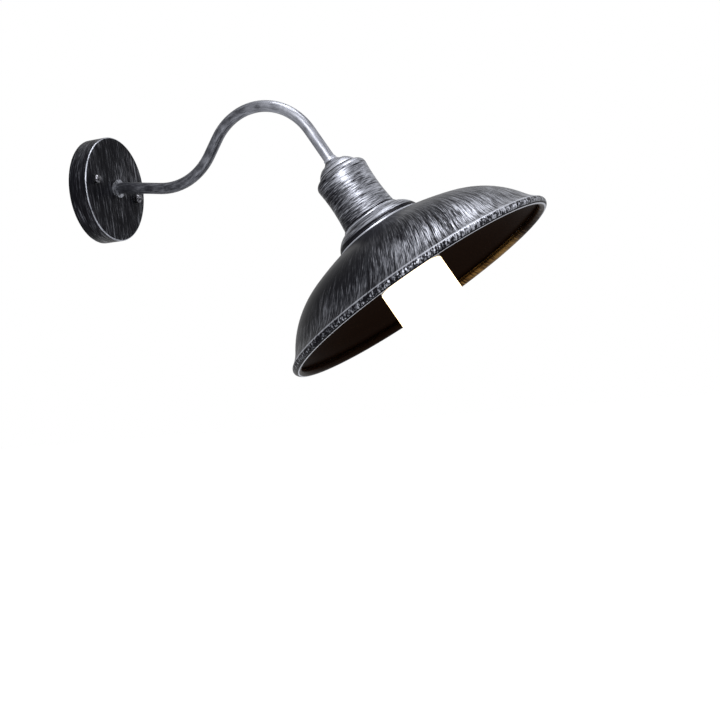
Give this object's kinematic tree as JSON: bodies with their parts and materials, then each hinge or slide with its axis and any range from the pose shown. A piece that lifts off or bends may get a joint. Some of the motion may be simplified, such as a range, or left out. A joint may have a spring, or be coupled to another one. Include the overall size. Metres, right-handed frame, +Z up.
{
  "type": "gooseneck wall sconce",
  "caption": "Wall lamp: round canopy, bent tube arm, stepped neck and a wide rolled-edge dome shade tilted down and outwards over a tubular screw-in bulb.",
  "frame": {"origin": "on the wall, at the centre of the round canopy and of its bracket", "axes": "-Y straight out of the wall along the arm's root, +Z up, +X to the left of someone who faces the wall; X = 0 is the plane of the arm"},
  "size_m": [0.3, 0.4875, 0.2851],
  "materials": {
    "brushed_black_enamel": "black enamel dry-brushed with silver, satin",
    "zinc_plated_steel": "zinc plated",
    "bright_steel": "polished",
    "brass": "machined",
    "black_phenolic": "moulded, semi-matt",
    "white_nylon": "moulded",
    "brown_insulation": "smooth",
    "blue_insulation": "smooth",
    "nickel_plate": "rolled thread, bright",
    "black_vitrite": "fired, glossy",
    "solder": "tinned",
    "white_plastic": "moulded, satin",
    "aluminium_plate": "milled",
    "led_phosphor": "cast",
    "board_resin": "laminate",
    "opal_plastic": "opal, lit from within"
  },
  "bodies": {
    "wall_mount": {"wall_bracket": "zinc_plated_steel", "earth_screw": "zinc_plated_steel", "earth_washer": "zinc_plated_steel", "canopy": "brushed_black_enamel", "canopy_screws": "bright_steel", "canopy_screw_washers": "bright_steel"},
    "arm_and_shade": {"arm_collar": "brushed_black_enamel", "wall_nipple": "zinc_plated_steel", "lock_washer": "zinc_plated_steel", "arm_locknut": "zinc_plated_steel", "arm_tube": "brushed_black_enamel", "terminal_block": "white_nylon", "terminal_tubes": "brass", "terminal_block_screws": "brass", "live_wire": "brown_insulation", "neutral_wire": "blue_insulation", "neck_cap": "brushed_black_enamel", "socket_cup": "brushed_black_enamel", "head_nipple": "zinc_plated_steel", "head_locknut": "zinc_plated_steel", "shade_fitter": "brushed_black_enamel", "shade": "brushed_black_enamel", "lampholder_skirt": "black_phenolic", "shade_ring": "black_phenolic", "lampholder_core": "black_phenolic", "lampholder_cap": "black_phenolic", "lampholder_grub_screw": "zinc_plated_steel", "lamp_shell": "brass", "centre_contact": "brass", "lampholder_terminal_screws": "brass"},
    "bulb": {"bulb_cap": "nickel_plate", "bulb_cap_insulator": "black_vitrite", "bulb_cap_contact": "solder", "bulb_housing": "white_plastic", "bulb_led_plate": "aluminium_plate", "bulb_leds": "led_phosphor", "bulb_driver_board": "board_resin", "bulb_diffuser": "opal_plastic"}
  },
  "joints": [
    {"name": "arm_swivel", "type": "hinge", "parent": "wall_mount", "child": "arm_and_shade", "pos_m": [0, 0, 0], "axis": [0, 1, 0], "range_deg": [-90, 90]},
    {"name": "bulb_removal", "type": "slide", "parent": "arm_and_shade", "child": "bulb", "axis": [0, -0.4863, -0.8738], "range_m": [0, 0.115]}
  ]
}
